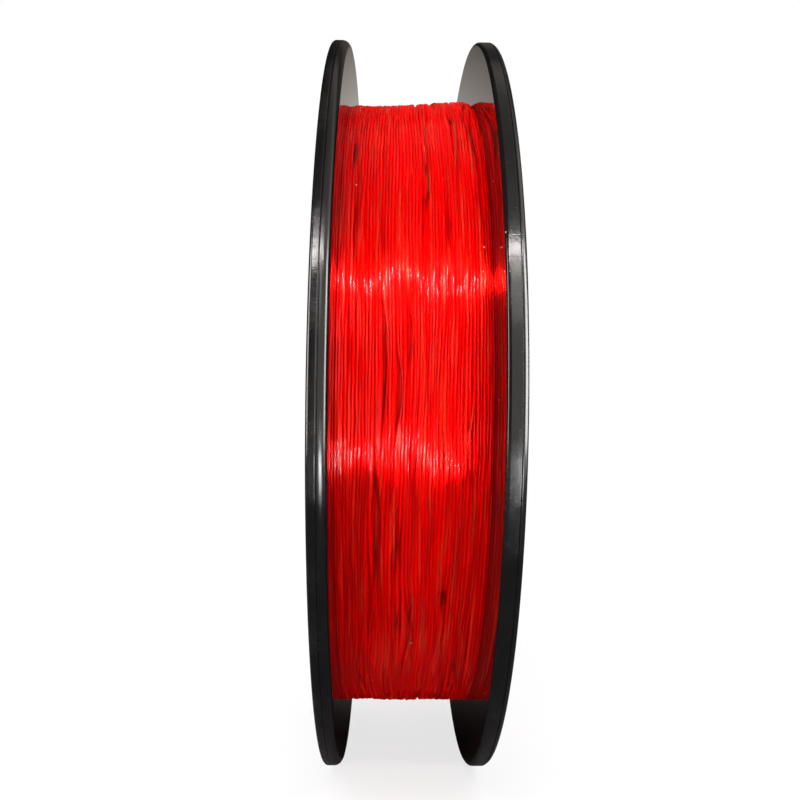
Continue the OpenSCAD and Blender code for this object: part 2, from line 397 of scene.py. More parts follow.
def spread_out(rows, way):
    """Moves the turns of one layer sideways until neighbours hardly overlap."""
    for _ in range(PUSHES):
        short = np.clip(CLOSEST * LINE_D - way * np.diff(rows, axis=0), 0, None) / 2 * way
        rows[:-1] -= short
        rows[1:] += short
        rows = np.clip(rows, left_limit, right_limit)
    return rows


rows = lane[:-1].reshape(turn_count, STEPS)
for number in range(LAYERS):
    turns = slice(number * TURNS, (number + 1) * TURNS)
    rows[turns] = spread_out(rows[turns], -1 if number % 2 == 0 else 1)
print(f"neighbours at least {np.abs(np.diff(rows[-TURNS:], axis=0)).min() / MM:.2f} mm apart")

# %% [markdown]
# ## Crossings
# Here and there a turn slips over its neighbours and comes back. Most crossings fall by chance, with
# a fixed seed, and three are set where a full spool shows them best: across the upper highlight.

# %% Let some turns cross their neighbours
CROSSINGS = 36
# Where along X in mm, the angle and the reach in degrees, and how far aside in mm.
SET_CROSSINGS = ((-0.7, 173, 5.0, 0.42), (0.9, 170, 4.0, -0.55), (3.4, 167, 2.5, 0.30))
chance = np.random.default_rng(5)
place = LEAVING + 2 * np.pi * np.arange(STEPS) / STEPS


def apart_from(middle):
    """How far each place of a turn is from an angle, in radians and by the shorter way."""
    return (place - middle + np.pi) % (2 * np.pi) - np.pi


free_turns = np.arange(turn_count - TURNS + 3, turn_count - 2)  # not those against the flanges
for turn in chance.choice(free_turns, CROSSINGS, replace=False):
    middle = np.radians(chance.uniform(95, 265))
    reach = np.radians(chance.uniform(4, 9))
    aside = chance.choice([-1, 1]) * chance.uniform(0.25, 0.75) * MM
    rows[turn] += aside * np.exp(-(apart_from(middle) / reach) ** 2)
for start_x, middle, reach, aside in SET_CROSSINGS:
    apart = apart_from(np.radians(middle))
    nearest = turn_count - TURNS + np.abs(rows[-TURNS:, np.abs(apart).argmin()] - start_x * MM).argmin()
    rows[nearest] += aside * MM * np.exp(-(apart / np.radians(reach)) ** 2)
print(CROSSINGS + len(SET_CROSSINGS), "crossings")
lane = np.append(rows.ravel(), lane[-1])
soft = np.array([1, 2, 3, 2, 1]) / 9
lane = np.convolve(np.pad(lane, 2, mode="edge"), soft, mode="valid") + wobble
lane = np.clip(lane, left_limit, right_limit)

# %% [markdown]
# ## Settling
# Now each turn drops onto the ones already laid. Between two of them it sinks into their groove, over
# one of them it lies high. The whole winding isn't a true cylinder either: it swells and droops as
# line does that was wound by machine and handled since.

# %% Let them settle
EASE = 10  # places before and after over which the line bends
RESTS_WITHIN = 0.75  # of the line's thickness: turns farther apart than this don't carry each other
UNEVEN = 0.06 * MM  # a tight winding levels out beyond this
SINKING = 0.04 * MM  # how far each layer presses into the one below
QUIVER, SLOW_QUIVER = 0.055 * MM, 0.11 * MM  # how far each turn and each group bob up and down
LEFT_SHOULDER, RIGHT_SHOULDER = 1.2 * MM, 1.6 * MM  # how wide they are


def eased(line):
    """A line bends over a few places, not at once."""
    kernel = np.hanning(2 * EASE + 1)
    return np.convolve(np.pad(line, EASE, mode="edge"), kernel / kernel.sum(), mode="valid")


def settled(lane):
    """How high each place of the line lies over the core: it drops onto the turns already laid."""
    rows = lane[:-1].reshape(turn_count, STEPS)
    height = np.zeros_like(rows)
    for number in range(LAYERS):
        first = number * TURNS
        for turn in range(first, first + TURNS):
            below = slice(max(0, first - TURNS), turn)
            gap = np.abs(rows[below] - rows[turn])
            rise = np.sqrt(np.clip(LINE_D ** 2 - gap ** 2, 0, None))
            carried = np.where(gap < RESTS_WITHIN * LINE_D, height[below] + rise, 0)
            height[turn] = carried.max(axis=0, initial=0)
        turns = slice(first, first + TURNS)
        usual = np.median(height[turns])
        height[turns] = usual - SINKING + UNEVEN * np.tanh((height[turns] - usual) / UNEVEN)
    return eased(np.append(height.ravel(), height[-1, -1]))


height = settled(lane)
last = slice(-TURNS * STEPS, None)
full = np.percentile(height[last], 70)
print(f"heights of the last layer {height[last].min() / MM:.2f} to {height[last].max() / MM:.2f} mm")


def swell(x, a):
    """How far the winding rises over a true cylinder: it is thicker at the upper right, and its
    shoulders droop."""
    upper = np.clip(np.cos(a - math.radians(95)), 0, 1) ** 2
    right_share = np.clip((x - right_limit + RIGHT_SHOULDER) / RIGHT_SHOULDER, 0, 1) ** 2
    left_share = np.clip((left_limit + LEFT_SHOULDER - x) / LEFT_SHOULDER, 0, 1) ** 2
    bulge = upper * (0.15 + 0.6 * np.clip((x + 2 * MM) / (8 * MM), 0, 1)) * MM
    return bulge - right_share * (0.1 + 0.5 * upper) * MM - left_share * 0.3 * upper * MM


quiver = wander(11, 1.3, 90, along) * QUIVER + wander(7, 0.12, 120, along) * SLOW_QUIVER
radius = wound_r - LINE_R + height - full + swell(lane, angle) + quiver
tilt = np.degrees(np.gradient(height[last] + quiver[last]) * STEPS / (2 * np.pi * wound_r))
print(f"its strands tilt by about {tilt.std():.2f} degrees")
print(f"radii of the last layer {radius[last].min() / MM:.2f} to {radius[last].max() / MM:.2f} mm")

# %% [markdown]
# ## The free end
# The last turn doesn't stop: it leaves the winding on a straight tangent, bends into the slit in the
# left rim and ends just inside the cover's outer face, which is how the free end of a full spool is
# parked.

# %% Lay the free end
BEND = 0.45 * MM
STUB_SHORT = 0.1 * MM  # of the cover's outer face
STRAIGHT_STEPS, BEND_STEPS, STUB_STEPS = 24, 6, 3
slit_point = np.array([lane[-1], SLIT_R * math.cos(SLIT_ANGLE), SLIT_R * math.sin(SLIT_ANGLE)])
way = np.array([0, -math.sin(angle[-1]), math.cos(angle[-1])])
places = np.stack([lane, radius * np.cos(angle), radius * np.sin(angle)], axis=1)
straight = np.linspace(places[-1], slit_point - BEND * way, STRAIGHT_STEPS + 1)[1:]
bend = [slit_point - BEND * (1 - math.sin(a)) * way - np.array([BEND * (1 - math.cos(a)), 0, 0])
        for a in np.linspace(0, np.pi / 2, BEND_STEPS + 1)[1:]]
stub_end = np.array([left_side + STUB_SHORT, slit_point[1], slit_point[2]])
free_end = np.concatenate([straight, bend, np.linspace(bend[-1], stub_end, STUB_STEPS + 1)[1:]])
print("free end", round(float(np.linalg.norm(np.diff(free_end, axis=0), axis=1).sum()) / MM, 1), "mm")

# %% [markdown]
# ## From places to strands
# Each layer is one closed tube. It is a little wider than it is high, because line under tension
# presses into its neighbours. Every point keeps a tint, a gleam and its way outward, which the line's
# material reads later.

# %% Make the tubes
SIDES = 6  # corners of a strand's section
PRESSED = 1.25  # how much wider than high the line is where its neighbours hold it
FLANGE_GAP = 0.01 * MM


def remember(mesh, name, values):
    """Keeps a value or a direction at each point of a mesh, for the material to read."""
    values = np.asarray(values, dtype=np.float32)
    kind, field = ("FLOAT", "value") if values.ndim == 1 else ("FLOAT_VECTOR", "vector")
    mesh.attributes.new(name, kind, "POINT").data.foreach_set(field, values.ravel())


def strips(rings, corners, closed=False):
    """The four-sided faces between each ring of points and the next."""
    start = (np.arange(rings if closed else rings - 1) * corners)[:, None]
    onward = (start + corners) % (rings * corners)
    here, after = np.arange(corners)[None, :], (np.arange(corners)[None, :] + 1) % corners
    quads = np.stack([start + here, start + after, onward + after, onward + here], -1)
    return quads.reshape(-1, 4).tolist()


def smooth_piece(name, points, faces):
    """A piece from points and faces, shaded smooth."""
    mesh = bpy.data.meshes.new(name)
    mesh.from_pydata(points.reshape(-1, 3).tolist(), [], faces)
    mesh.polygons.foreach_set("use_smooth", [True] * len(mesh.polygons))
    piece = bpy.data.objects.new(name, mesh)
    bpy.context.scene.collection.objects.link(piece)
    return piece


def tube(name, points, tint, gleam, width, held):
    """A closed tube along points, with its tint, gleam and width at each. The first ones are held
    between the flanges, which flatten it."""
    ahead = np.gradient(points, axis=0)
    ahead /= np.linalg.norm(ahead, axis=1)[:, None]
    side = np.cross(ahead, (1.0, 0.0, 0.0))
    size = np.linalg.norm(side, axis=1)
    side[size < 0.1] = side[size >= 0.1][-1]  # where the line runs along the axis
    side /= np.linalg.norm(side, axis=1)[:, None]
    across = np.cross(ahead, side) * width[:, None]
    turns = np.arange(SIDES) * 2 * np.pi / SIDES
    rings = points[:, None, :] + LINE_R * (np.cos(turns)[None, :, None] * side[:, None, :]
                                           + np.sin(turns)[None, :, None] * across[:, None, :])
    rings[:held, :, 0] = np.clip(rings[:held, :, 0], left_face + FLANGE_GAP, right_face - FLANGE_GAP)
    first_end = list(range(SIDES))[::-1]
    last_end = [(len(points) - 1) * SIDES + i for i in range(SIDES)]
    piece = smooth_piece(name, rings, strips(len(points), SIDES) + [first_end, last_end])
    for kind, values in (("tint", tint), ("gleam", gleam), ("outward", side)):
        remember(piece.data, kind, np.repeat(values, SIDES, axis=0))
    return piece


tint = np.clip(wander(5, 2.3, 70, along) * 1.6 - 0.3, 0, 1)  # a light stretch here and there
gleam = np.clip(wander(7, 3.1, 210, along) + 0.7, 0, 1) ** 1.6  # how wet it looks
pieces = []
for number in range(LAYERS):
    run = slice(number * TURNS * STEPS, (number + 1) * TURNS * STEPS + 1)
    held = len(places[run])
    points, shade, shine, width = places[run], tint[run], gleam[run], np.full(held, PRESSED)
    if number == LAYERS - 1:
        points = np.concatenate([points, free_end])
        shade = np.pad(shade, (0, len(free_end)), mode="edge")
        shine = np.pad(shine, (0, len(free_end)), mode="edge")
        width = np.concatenate([width, np.linspace(PRESSED, 1, len(free_end))])
    pieces.append(tube(f"line_layer_{number + 1}", points, shade, shine, width, held))
    print(pieces[-1].name, len(pieces[-1].data.polygons) * 2, "triangles")

# %% [markdown]
# ## The line underneath
# Under the drawn layers lie some 35 more. They never show as strands, only as red depth between the turns,
# so they are one ring whose outer face and sides are ribbed turn by turn. Its red is a little lighter than
# most strands: painted light that lifts the shade between the turns. The ring swells with the layers above
# it, so that no dark hollow opens between them.

# %% Make the core
CORE_STEPS = 150
SIDE_GAP = 0.1 * MM
DRUM_GAP = 0.2 * MM  # where the tape lies
LAYER_RISE = 0.88  # of the line's thickness: each layer lies in the grooves of the one below
RIB_DEPTH = 0.4 * LINE_R
# painted light: the core is a lighter red than most strands, to lift the shade deep between the turns
CORE_PAINTED_LIGHT = 0.3
core_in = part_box("hub_drum")[1].y + DRUM_GAP
ribs = int((right_face - left_face - 2 * SIDE_GAP) / LINE_D)
layers_below = int((core_r - core_in) / (LAYER_RISE * LINE_D))


def ribbed(start, end, count, dip):
    """Points of a row of round ribs from one corner to the next. They dip towards the inside."""
    shares = np.linspace(0, 1, count * 3 + 1)
    valleys = 1 - np.abs(np.sin(shares * count * np.pi))
    return (np.outer(1 - shares, start) + np.outer(shares, end) + np.outer(valleys, dip))[:-1]


low_x, high_x = left_face + SIDE_GAP, right_face - SIDE_GAP
corners = [(low_x, core_in), (low_x, core_r), (high_x, core_r), (high_x, core_in)]
outline = np.concatenate([ribbed(corners[0], corners[1], layers_below, (RIB_DEPTH, 0)),
                          ribbed(corners[1], corners[2], ribs, (0, -RIB_DEPTH)),
                          ribbed(corners[2], corners[3], layers_below, (-RIB_DEPTH, 0)),
                          ribbed(corners[3], corners[0], 1, (0, 0))])
turning = np.arange(CORE_STEPS)[:, None] * 2 * np.pi / CORE_STEPS
x, r = outline[None, :, 0], outline[None, :, 1]
r = r + swell(x, turning) * np.clip((r - core_in) / (core_r - core_in), 0, 1) ** 3
x = np.broadcast_to(x, r.shape)
vertices = np.stack([x, r * np.cos(turning), r * np.sin(turning)], -1).reshape(-1, 3)
underneath = smooth_piece("line_underneath", vertices, strips(CORE_STEPS, len(outline), closed=True))
mesh = underneath.data
# the core's lighter tint is painted light against the shade between the turns
remember(mesh, "tint", np.full(len(vertices), CORE_PAINTED_LIGHT))
remember(mesh, "outward", vertices * (0, 1, 1) / np.linalg.norm(vertices[:, 1:], axis=1)[:, None])
checked = bmesh.new()
checked.from_mesh(mesh)
if checked.calc_volume(signed=True) < 0:
    mesh.flip_normals()
checked.free()
print("core:", ribs, "ribs,", layers_below, "layers,", len(mesh.polygons) * 2, "triangles")

for piece in pieces + [underneath]:
    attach(piece, "root")
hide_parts("line_outer_layer")
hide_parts("line_core")

# %% [markdown]
# ## Flanges and covers
# Each side of the spool is two moulded discs: a flange, and a cover whose lip closes it at the rim and
# leaves the seam line round the edge. A moulded disc could be a cylinder with insets, but its section
# says all there is to say about it. So the section is drawn corner by corner, its corners are rounded
# as a mould's are, and it is spun once round the axis.

# %% Spin a disc from its section
ROUND_STEPS = 256
WEB_T = 0.9 * MM  # thickness of a flange inside its rim
LEFT_EDGE_R, RIGHT_EDGE_R = 0.9 * MM, 0.45 * MM  # rounding of the rims' inner edges
SEAM_R = 0.1 * MM  # rounding on both sides of the seam
SLOPE = math.tan(math.radians(33))  # of the lips' outer edges
PICKED = 0.001 * MM  # how close a vertex is to the place that it is picked by
PLATE_R = rim_r - 3.2 * MM
EYE_R = 11.7 * MM
FIXING_RING_R = 20 * MM  # the circle of the drum's bosses and the covers' pins


def put_in_order(mesh):
    """Sorts edges and faces by their lowest vertices, since a spin leaves them in any order."""
    count = len(mesh.verts)
    for elements in (mesh.edges, mesh.faces):
        elements.sort(key=lambda element: sum(
            index * count ** place
            for place, index in enumerate(sorted(vertex.index for vertex in element.verts)[:3])))


def turned(name, corners):
    """A closed ring from a section of corners: the place along X, the radius and the rounding."""
    bpy.ops.object.select_all(action="DESELECT")
    bpy.ops.mesh.primitive_plane_add(size=MM)
    part = bpy.context.object
    part.name = part.data.name = name
    bpy.ops.object.mode_set(mode="EDIT")
    bpy.ops.mesh.merge(type="CENTER")
    bpy.ops.mesh.select_all(action="SELECT")
    bpy.ops.transform.translate(value=(corners[0][0], 0, corners[0][1]))
    for (x_a, r_a, _), (x_b, r_b, _) in zip(corners, corners[1:]):
        bpy.ops.mesh.extrude_vertices_move(TRANSFORM_OT_translate={"value": (x_b - x_a, 0, r_b - r_a)})
    bpy.ops.mesh.select_all(action="SELECT")
    bpy.ops.mesh.edge_face_add()
    for size in sorted({corner[2] for corner in corners if corner[2] > 0}):
        mesh = bmesh.from_edit_mesh(part.data)
        for vertex in mesh.verts:
            vertex.select_set(any(abs(vertex.co.x - x) + abs(vertex.co.z - r) < PICKED
                                  for x, r, rounding in corners if rounding == size))
        mesh.select_flush_mode()
        bmesh.update_edit_mesh(part.data)
        bpy.ops.mesh.bevel(offset=size, segments=4, affect="VERTICES")
    bpy.ops.mesh.select_all(action="SELECT")
    bpy.ops.mesh.delete(type="ONLY_FACE")
    bpy.ops.mesh.select_all(action="SELECT")
    bpy.ops.mesh.spin(steps=ROUND_STEPS, angle=2 * math.pi, center=(0, 0, 0), axis=(1, 0, 0))
    bpy.ops.mesh.select_all(action="SELECT")
    bpy.ops.mesh.normals_make_consistent(inside=False)
    put_in_order(bmesh.from_edit_mesh(part.data))
    bmesh.update_edit_mesh(part.data)
    bpy.ops.object.mode_set(mode="OBJECT")
    return part


def worked(part, tool, operation):
    """Cuts a tool out of a part or adds it, and removes the tool."""
    bpy.context.view_layer.objects.active = part
    bpy.ops.object.modifier_add(type="BOOLEAN")
    modifier = part.modifiers[-1]
    modifier.object, modifier.operation, modifier.solver = tool, operation, "EXACT"
    bpy.ops.object.modifier_apply(modifier=modifier.name)
    bpy.data.objects.remove(tool)


def rod(radius, start, end, aside, up):
    """A round rod along X."""
    bpy.ops.object.select_all(action="DESELECT")
    bpy.ops.mesh.primitive_cylinder_add(vertices=48, radius=radius, depth=abs(end - start),
                                        location=((start + end) / 2, aside, up),
                                        rotation=(0, math.pi / 2, 0))
    bpy.ops.object.transform_apply(location=True, rotation=True, scale=True)
    return bpy.context.object


def smoothed(part):
    """Flat faces stay flat and roundings shade smooth."""
    bpy.ops.object.select_all(action="DESELECT")
    part.select_set(True)
    bpy.context.view_layer.objects.active = part
    bpy.ops.object.shade_smooth_by_angle(angle=math.radians(35))
    bpy.ops.object.modifier_add(type="WEIGHTED_NORMAL")
    part.modifiers[-1].keep_sharp = True
    bpy.ops.object.modifier_apply(modifier=part.modifiers[-1].name)
    print(part.name, sum(len(face.vertices) - 2 for face in part.data.polygons), "triangles")


fixings = [(-FIXING_RING_R * math.sin(turn), FIXING_RING_R * math.cos(turn))
           for turn in (0, 2 * math.pi / 3, 4 * math.pi / 3)]

# %% [markdown]
# ## The flanges
# A flange is a thin web with a thick rim. The rim's inner edge is well rounded, because line runs over
# it, and three holes in the web let the drum's bosses through.

# %% Make the flanges
BOSS_HOLE_R = 3.1 * MM


def flange(name, face, seam, edge_r):
    """A flange from its inner face to the seam with its cover, with holes for the drum's bosses."""
    out = math.copysign(1, seam - face)
    part = turned(name, [(face, EYE_R, 0.1 * MM), (face, rim_r, edge_r), (seam, rim_r, SEAM_R),
                         (seam, PLATE_R, 0.05 * MM), (face + out * WEB_T, PLATE_R, 0),
                         (face + out * WEB_T, EYE_R, 0.1 * MM)])
    for aside, up in fixings:
        worked(part, rod(BOSS_HOLE_R, face - out * MM, face + out * (WEB_T + MM), aside, up), "DIFFERENCE")
    return part


left_flange = flange("left_flange_disc", left_face, left_seam, LEFT_EDGE_R)
right_flange = flange("right_flange_disc", right_face, right_seam, RIGHT_EDGE_R)

# %% [markdown]
# ## The covers
# A cover closes the flange's hollow: its plate lies on the web, and its lip meets the rim at the seam.
# The outer face has a recess for the label. Three pins with rounded tips hold it in the drum.

# %% Make the covers
SEAT_GAP = 0.1 * MM  # round the cover's plate
RECESS = 0.2 * MM  # for the label
LIP_R = 0.18 * MM  # rounding from the lip to the outer face
LABEL_OUT, LABEL_IN = 45 * MM, 14.7 * MM
PIN_R, PIN_LONG, PIN_HEAD = 1.2 * MM, 5.5 * MM, 0.2 * MM


def pin(base, tip, aside, up):
    """A press pin along X with a rounded tip."""
    made = rod(PIN_R, base, tip, aside, up)
    bpy.ops.object.mode_set(mode="EDIT")
    mesh = bmesh.from_edit_mesh(made.data)
    for edge in mesh.edges:
        edge.select_set(all(abs(vertex.co.x - tip) < PICKED for vertex in edge.verts))
    bmesh.update_edit_mesh(made.data)
    bpy.ops.mesh.bevel(offset=0.35 * MM, segments=4)
    bpy.ops.object.mode_set(mode="OBJECT")
    return made


def cover(name, face, seam, side, sloped):
    """A cover from its plate inside the flange to its outer face, with a recess for the label. Its
    lip slopes a little before it rounds to the outer face."""
    out = math.copysign(1, side - face)
    plate, floor_x = face + out * WEB_T, side - out * RECESS
    part = turned(name, [(plate, EYE_R, 0.05 * MM), (plate, PLATE_R - SEAT_GAP, 0.1 * MM),
                         (seam, PLATE_R - SEAT_GAP, 0), (seam, rim_r, SEAM_R),
                         (side - out * (sloped + LIP_R), rim_r, 0.04 * MM),
                         (side, rim_r - (sloped + LIP_R) * SLOPE, LIP_R),
                         (side, LABEL_OUT, 0.07 * MM), (floor_x, LABEL_OUT, 0.04 * MM),
                         (floor_x, LABEL_IN, 0.04 * MM), (side, LABEL_IN, 0.07 * MM),
                         (side, EYE_R, 0.12 * MM)])
    for aside, up in fixings:
        worked(part, pin(plate + out * PIN_HEAD, plate - out * PIN_LONG, aside, up), "UNION")
    return part


left_cover = cover("left_cover_disc", left_face, left_seam, left_side, 0.12 * MM)
right_cover = cover("right_cover_disc", right_face, right_seam, right_side, 0.24 * MM)

# %% [markdown]
# ## The slit
# The line's free end is parked in a slit through the left rim. It is cut by a thin rod across both
# discs, with one half of the rod drawn out past the rim, so the slit is open there and round inside.

# %% Cut the slit for the free end
SLIT_WIDTH = 0.7 * MM
DRAWN_OUT = 5 * MM
for part in (left_flange, left_cover):
    bpy.ops.object.select_all(action="DESELECT")
    bpy.ops.mesh.primitive_cylinder_add(vertices=32, radius=SLIT_WIDTH / 2, depth=4 * MM,
                                        rotation=(0, math.pi / 2, 0))
    bpy.ops.object.transform_apply(rotation=True)
    slit = bpy.context.object
    bpy.ops.object.mode_set(mode="EDIT")
    mesh = bmesh.from_edit_mesh(slit.data)
    for vertex in mesh.verts:
        vertex.select_set(vertex.co.y > -PICKED)
    mesh.select_flush_mode()
    bmesh.update_edit_mesh(slit.data)
    bpy.ops.transform.translate(value=(0, DRAWN_OUT, 0))
    bpy.ops.object.mode_set(mode="OBJECT")
    slit.rotation_euler = (SLIT_ANGLE, 0, 0)
    slit.location = ((left_face + left_side) / 2, SLIT_R * math.cos(SLIT_ANGLE),
                     SLIT_R * math.sin(SLIT_ANGLE))
    bpy.ops.object.transform_apply(location=True, rotation=True)
    worked(part, slit, "DIFFERENCE")

discs = {"left_flange": left_flange, "right_flange": right_flange, "left_cover": left_cover,
         "right_cover": right_cover}
for node, part in discs.items():
    smoothed(part)
    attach(part, "root")
    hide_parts(node)

# %% [markdown]
# ## Wear
# No handled plastic is evenly shiny. Its gloss is broken by fine nicks across the rim, hairlines round
# it, rubbed patches and a mottle. A node group holds these effects, so that every plastic can use them
# in its own strength. The pattern is laid on the rim unrolled, which makes it stretch the right way.

# %% The wear group
ALONG_NICKS, ALONG_HAIRS = (0.12, 1, 0.12), (1, 0.03, 1)  # small where the pattern is long
UNHANDLED = 0.15  # how much of the wear shows away from the rim


def group(name, inputs, outputs):
    """An empty node group with its sockets."""
    tree = bpy.data.node_groups.new(name, "ShaderNodeTree")
    for way, sockets in (("INPUT", inputs), ("OUTPUT", outputs)):
        for socket, kind in sockets.items():
            tree.interface.new_socket(name=socket, in_out=way, socket_type=f"NodeSocket{kind}")
    return tree, add(tree, "NodeGroupInput").outputs, add(tree, "NodeGroupOutput").inputs


def noise_at(tree, vector, scale, detail=3.0, roughness=0.55):
    """Smooth noise, as a value."""
    return add(tree, "ShaderNodeTexNoise", Vector=vector, Scale=scale, Detail=detail,
               Roughness=roughness).outputs["Fac"]


def off_axis(tree, place):
    """How far a place is from the spool's axis."""
    return vector_maths(tree, "LENGTH", vector_maths(tree, "MULTIPLY", place, (0, 1, 1)))


wear, put_in, put_out = group("plastic_wear", {"Place": "Vector", "Handled": "Float", "Unworn": "Float",
                                               "Rubbed": "Float", "Scratched": "Float"},
                              {"Roughness": "Float", "Height": "Float", "Scuff": "Float"})
split = add(wear, "ShaderNodeSeparateXYZ", _0=put_in["Place"]).outputs
turn = maths(wear, "ARCTAN2", split["Z"], split["Y"])
unrolled = add(wear, "ShaderNodeCombineXYZ", _0=split["X"], _1=maths(wear, "MULTIPLY", turn, rim_r),
               _2=off_axis(wear, put_in["Place"])).outputs[0]
across_rim = vector_maths(wear, "MULTIPLY", unrolled, ALONG_NICKS)
round_rim = vector_maths(wear, "MULTIPLY", unrolled, ALONG_HAIRS)
patches = mapped(wear, noise_at(wear, put_in["Place"], 130, 4), 0.42, 0.66)
mottle = noise_at(wear, put_in["Place"], 1500, 4, 0.65)
nicks = mapped(wear, noise_at(wear, across_rim, 2600, 2), 0.60, 0.74)
hairs = mapped(wear, noise_at(wear, round_rim, 5200, 2), 0.60, 0.78)
handled = maths(wear, "MULTIPLY_ADD", put_in["Handled"], 1 - UNHANDLED, UNHANDLED)
lines = maths(wear, "MULTIPLY", maths(wear, "MAXIMUM", nicks, hairs), put_in["Scratched"])
lines = maths(wear, "MULTIPLY", lines, handled)
scuff = maths(wear, "MULTIPLY", maths(wear, "MULTIPLY", patches, mottle), put_in["Rubbed"])
scuff = maths(wear, "MULTIPLY", scuff, handled)
rougher = maths(wear, "MULTIPLY_ADD", scuff, 0.5, put_in["Unworn"])
wear.links.new(maths(wear, "MULTIPLY_ADD", lines, 0.12, rougher), put_out["Roughness"])
bumps = maths(wear, "MULTIPLY_ADD", mottle, put_in["Rubbed"], maths(wear, "MULTIPLY", lines, -0.6))
wear.links.new(maths(wear, "MULTIPLY", bumps, handled), put_out["Height"])
wear.links.new(maths(wear, "MAXIMUM", scuff, maths(wear, "MULTIPLY", lines, 0.3)), put_out["Scuff"])
print("wear group:", len(wear.nodes), "nodes")

# %% [markdown]
# ## Dust
# Dust is a scatter of pale specks. Space is parted into cells, and each cell draws by lot whether it
# holds a speck, and how big a one.

# %% The dust group
SMALLEST, SPECK_RANGE = 0.015, 0.035  # in cells
dust, put_in, put_out = group("settled_dust", {"Place": "Vector", "Spacing": "Float", "Share": "Float"},
                              {"Dust": "Float"})
cells = add(dust, "ShaderNodeTexVoronoi", Vector=put_in["Place"],
            Scale=maths(dust, "DIVIDE", 1, put_in["Spacing"])).outputs
luck = add(dust, "ShaderNodeSeparateColor", _0=cells["Color"]).outputs
picked = maths(dust, "LESS_THAN", luck["Red"], put_in["Share"])
size = maths(dust, "MULTIPLY_ADD", luck["Green"], SPECK_RANGE, SMALLEST)
speck = maths(dust, "LESS_THAN", cells["Distance"], size)
dust.links.new(maths(dust, "MULTIPLY", speck, picked), put_out["Dust"])
print("dust group:", len(dust.nodes), "nodes")


def placed(tree, kind, **inputs):
    """A group placed in a material."""
    return add(tree, "ShaderNodeGroup", {"node_tree": kind}, **inputs).outputs

# %% [markdown]
# ## Black plastic
# The faces are as smooth as the mould left them. The rim is what hands and shelves touch, so it is duller,
# rubbed and scratched, on each disc in its own measure. The drum has a plastic of its own, but none of it
# lies near the rim, so it is about as glossy as the faces.

# %% Black plastic
BLACK, SCUFFED, PLASTIC_DUST = (0.003, 0.003, 0.0032, 1), (0.010, 0.0095, 0.0085, 1), (0.26, 0.23, 0.20, 1)
FACE_ROUGH = 0.03
DUST_ROUGH = 0.8
RIM_FROM, RIM_FULL = rim_r - 0.6 * MM, rim_r - 0.3 * MM


def black_plastic(name, rim_rough, rubbed, scratched, waviness):
    """Glossy black plastic, smooth on its faces and handled on its rim."""
    made, tree, shader = material(name)
    coords = add(tree, "ShaderNodeTexCoord").outputs["Object"]
    rim = mapped(tree, off_axis(tree, coords), RIM_FROM, RIM_FULL)
    unworn = maths(tree, "MULTIPLY_ADD", rim, rim_rough - FACE_ROUGH, FACE_ROUGH)
    used = placed(tree, wear, Place=coords, Handled=rim, Unworn=unworn, Rubbed=rubbed, Scratched=scratched)
    specks = maths(tree, "MAXIMUM", placed(tree, dust, Place=coords, Spacing=2.6 * MM, Share=0.2)["Dust"],
                   placed(tree, dust, Place=coords, Spacing=0.7 * MM, Share=0.25)["Dust"])
    colour = blended(tree, specks, blended(tree, used["Scuff"], BLACK, SCUFFED), PLASTIC_DUST)
    tree.links.new(colour, shader.inputs["Base Color"])
    tree.links.new(maths(tree, "MAXIMUM", used["Roughness"], maths(tree, "MULTIPLY", specks, DUST_ROUGH)),
                   shader.inputs["Roughness"])
    bump = add(tree, "ShaderNodeBump", Height=used["Height"], Strength=waviness, Distance=0.02 * MM)
    tree.links.new(bump.outputs[0], shader.inputs["Normal"])
    shader.inputs["Specular IOR Level"].default_value = 0.3
    return made


for node, *finish in (("left_cover", 0.13, 0.75, 0.4, 0.6), ("left_flange", 0.15, 0.3, 0.3, 0.5),
                      ("right_flange", 0.13, 0.5, 0.5, 0.6), ("right_cover", 0.15, 0.3, 0.4, 0.5)):
    discs[node].data.materials.append(black_plastic(f"{node}_plastic", *finish))
nodes["hub_drum"].data.materials.clear()
nodes["hub_drum"].data.materials.append(black_plastic("drum_plastic", 0.3, 0.3, 0.3, 0.4))
print("plastics:", len(discs) + 1)

# %% [markdown]
# ## Red line
# Monofilament is clear nylon with a dye. Light goes in, is scattered a short way and comes out red,
# while the smooth skin adds a white gleam that differs from strand to strand. A strand is much
# rounder than the camera can see, so its normals are turned most of the way to the winding's own.
# That keeps the light lines as soft as they look on a full spool.

# %% Red line
DEEP_RED, LIGHT_RED, LINE_DUST = (0.88, 0.001, 0.001, 1), (1.0, 0.013, 0.006, 1), (0.85, 0.5, 0.45, 1)
MOST_GLEAM, LEAST_GLEAM = 0.40, 0.02
TURNED = 3.3  # how many times the winding's normal counts as much as the strand's own

red, tree, shader = material("red_line")
coords = add(tree, "ShaderNodeTexCoord").outputs["Object"]
shade = add(tree, "ShaderNodeAttribute", {"attribute_name": "tint"}).outputs["Fac"]
colour = blended(tree, shade, DEEP_RED, LIGHT_RED)
specks = placed(tree, dust, Place=coords, Spacing=2.2 * MM, Share=0.3)["Dust"]
tree.links.new(blended(tree, specks, colour, LINE_DUST), shader.inputs["Base Color"])
wet = add(tree, "ShaderNodeAttribute", {"attribute_name": "gleam"}).outputs["Fac"]
coat = maths(tree, "MULTIPLY_ADD", wet, MOST_GLEAM - LEAST_GLEAM, LEAST_GLEAM)
tree.links.new(coat, shader.inputs["Coat Weight"])
outward = add(tree, "ShaderNodeAttribute", {"attribute_name": "outward"}).outputs["Vector"]
own = add(tree, "ShaderNodeNewGeometry").outputs["Normal"]
softer = vector_maths(tree, "ADD", vector_maths(tree, "SCALE", outward, Scale=TURNED), own)
tree.links.new(vector_maths(tree, "NORMALIZE", softer), shader.inputs["Normal"])
shader.inputs["Roughness"].default_value = 0.18
shader.inputs["Metallic"].default_value = 0.34
shader.inputs["Specular IOR Level"].default_value = 0
